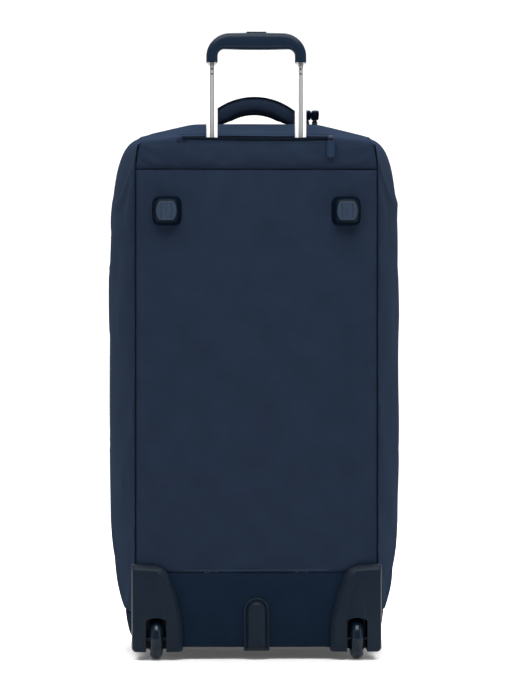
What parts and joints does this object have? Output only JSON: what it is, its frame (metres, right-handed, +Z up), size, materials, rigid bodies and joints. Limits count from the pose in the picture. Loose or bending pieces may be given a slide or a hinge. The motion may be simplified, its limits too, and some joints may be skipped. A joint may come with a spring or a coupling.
{
  "type": "rolling duffel bag",
  "caption": "Upright wheeled duffel bag in padded fabric with a telescopic pull handle, padded haul handle, zipped front lid, moulded wheel housings, centre skid and stand-off feet",
  "frame": {"origin": "middle of the bounding box at floor level, under the wheels and front feet", "axes": "+Z up along the height, -Y towards the flat back panel with the wheels, +Y towards the lid, +X to the right seen from the back"},
  "size_m": [0.4306, 0.362, 0.8995],
  "materials": {
    "navy_fabric": "heavy twill weave, matt",
    "dark_fabric": "coated dark fabric",
    "zip_tape": "woven tape and webbing",
    "lining_fabric": "smooth lining over a board",
    "stiffener_board": "plain sheet",
    "navy_plastic": "fine moulded texture",
    "puller_plastic": "smooth",
    "foot_rubber": "ribbed",
    "wheel_tyre": "polished rubber",
    "hub_plastic": "smooth",
    "bright_tube": "bright satin anodised",
    "steel": "plain",
    "zip_metal": "dark enamel"
  },
  "bodies": {
    "bag": {"back_panel": "navy_fabric", "yoke_panel": "navy_fabric", "kick_panel": "dark_fabric", "side_panel_left": "navy_fabric", "side_panel_right": "navy_fabric", "top_panel": "navy_fabric", "bottom_panel": "dark_fabric", "back_board": "stiffener_board", "lining_board": "lining_fabric", "bottom_board": "stiffener_board", "handle_bezel": "navy_plastic", "outer_tube_left": "bright_tube", "outer_tube_right": "bright_tube", "tube_foot_bracket": "navy_plastic", "frame_screws": "steel", "wheel_housing_left": "navy_plastic", "wheel_housing_right": "navy_plastic", "wheel_axles": "steel", "centre_skid": "navy_plastic", "front_feet": "navy_plastic", "back_feet": "navy_plastic", "foot_pads": "foot_rubber", "haul_handle": "navy_fabric", "main_zip_tape": "zip_tape", "zip_end_tabs": "zip_tape", "handle_zip_tape": "zip_tape", "packing_straps": "zip_tape", "main_slider_right": "zip_metal"},
    "lid": {"lid_gusset": "navy_fabric", "front_panel": "navy_fabric", "lid_zip_tape": "zip_tape", "pocket_panel": "navy_fabric", "pocket_zip_tape": "zip_tape", "carry_handle_anchors": "zip_tape"},
    "carry_handle_left": {"carry_handle_left": "navy_fabric"},
    "carry_handle_right": {"carry_handle_right": "navy_fabric"},
    "main_slider_left": {"main_slider_left": "zip_metal"},
    "main_puller_left": {"main_puller_left": "puller_plastic"},
    "main_puller_right": {"main_puller_right": "puller_plastic"},
    "handle_slider": {"handle_slider": "zip_metal"},
    "handle_puller": {"handle_puller": "puller_plastic"},
    "pocket_slider": {"pocket_slider": "zip_metal"},
    "pocket_puller": {"pocket_puller": "puller_plastic"},
    "middle_stage": {"middle_tube_left": "bright_tube", "middle_tube_right": "bright_tube"},
    "inner_stage": {"inner_tube_left": "bright_tube", "inner_tube_right": "bright_tube", "lock_plugs": "navy_plastic", "grip_body": "navy_plastic", "grip_pins": "steel", "button_spring": "steel"},
    "release_button": {"release_button": "navy_plastic", "push_rods": "bright_tube"},
    "lock_pins": {"lock_pins": "steel"},
    "wheel_left": {"tyre_left": "wheel_tyre", "wheel_hub_left": "hub_plastic", "wheel_bearings_left": "steel"},
    "wheel_right": {"tyre_right": "wheel_tyre", "wheel_hub_right": "hub_plastic", "wheel_bearings_right": "steel"}
  },
  "joints": [
    {"name": "lid_hinge", "type": "hinge", "parent": "bag", "child": "lid", "pos_m": [0, 0.1635, 0.063], "axis": [1, 0, 0], "range_deg": [-90, 0]},
    {"name": "carry_left_swing", "type": "hinge", "parent": "lid", "child": "carry_handle_left", "pos_m": [-0.072, 0.1775, 0.38], "axis": [0, 0, 1], "range_deg": [-90, 0]},
    {"name": "carry_right_swing", "type": "hinge", "parent": "lid", "child": "carry_handle_right", "pos_m": [0.072, 0.1775, 0.38], "axis": [0, 0, 1], "range_deg": [0, 90]},
    {"name": "main_zip_slide", "type": "slide", "parent": "bag", "child": "main_slider_left", "axis": [-1, 0, 0], "range_m": [0, 0.15]},
    {"name": "main_left_puller_swing", "type": "hinge", "parent": "main_slider_left", "child": "main_puller_left", "pos_m": [0.0795, 0.052, 0.78424], "axis": [1, 0, 0], "range_deg": [-130, 30]},
    {"name": "main_right_puller_swing", "type": "hinge", "parent": "bag", "child": "main_puller_right", "pos_m": [0.0915, 0.052, 0.78424], "axis": [1, 0, 0], "range_deg": [-130, 30]},
    {"name": "handle_zip_slide", "type": "slide", "parent": "bag", "child": "handle_slider", "axis": [-1, 0, 0], "range_m": [0, 0.035]},
    {"name": "handle_puller_swing", "type": "hinge", "parent": "handle_slider", "child": "handle_puller", "pos_m": [0.106, -0.1664, 0.74555], "axis": [1, 0, 0], "range_deg": [-155, 0]},
    {"name": "pocket_zip_slide", "type": "slide", "parent": "lid", "child": "pocket_slider", "axis": [-1, 0, 0], "range_m": [0, 0.17]},
    {"name": "pocket_puller_swing", "type": "hinge", "parent": "pocket_slider", "child": "pocket_puller", "pos_m": [0.088, 0.1795, 0.658], "axis": [1, 0, 0], "range_deg": [0, 170]},
    {"name": "middle_slide", "type": "slide", "parent": "bag", "child": "middle_stage", "axis": [0, 0, 1], "range_m": [0, 0.17]},
    {"name": "inner_slide", "type": "slide", "parent": "middle_stage", "child": "inner_stage", "axis": [0, 0, 1], "range_m": [-0.15, 0]},
    {"name": "button_press", "type": "slide", "parent": "inner_stage", "child": "release_button", "axis": [0, 0, -1], "range_m": [0, 0.003], "stiffness_N_per_m": 500, "springref_m": -0.003, "deforming": ["button_spring"]},
    {"name": "lock_retract", "type": "slide", "parent": "inner_stage", "child": "lock_pins", "axis": [0, -1, 0], "range_m": [0, 0.0015]},
    {"name": "wheel_left_spin", "type": "hinge", "parent": "bag", "child": "wheel_left", "pos_m": [-0.1435, -0.151, 0.03], "axis": [1, 0, 0], "continuous": true},
    {"name": "wheel_right_spin", "type": "hinge", "parent": "bag", "child": "wheel_right", "pos_m": [0.1435, -0.151, 0.03], "axis": [1, 0, 0], "continuous": true}
  ],
  "couplings": [
    {"joint": "lock_retract", "follows": "button_press", "ratio": 0.5}
  ]
}
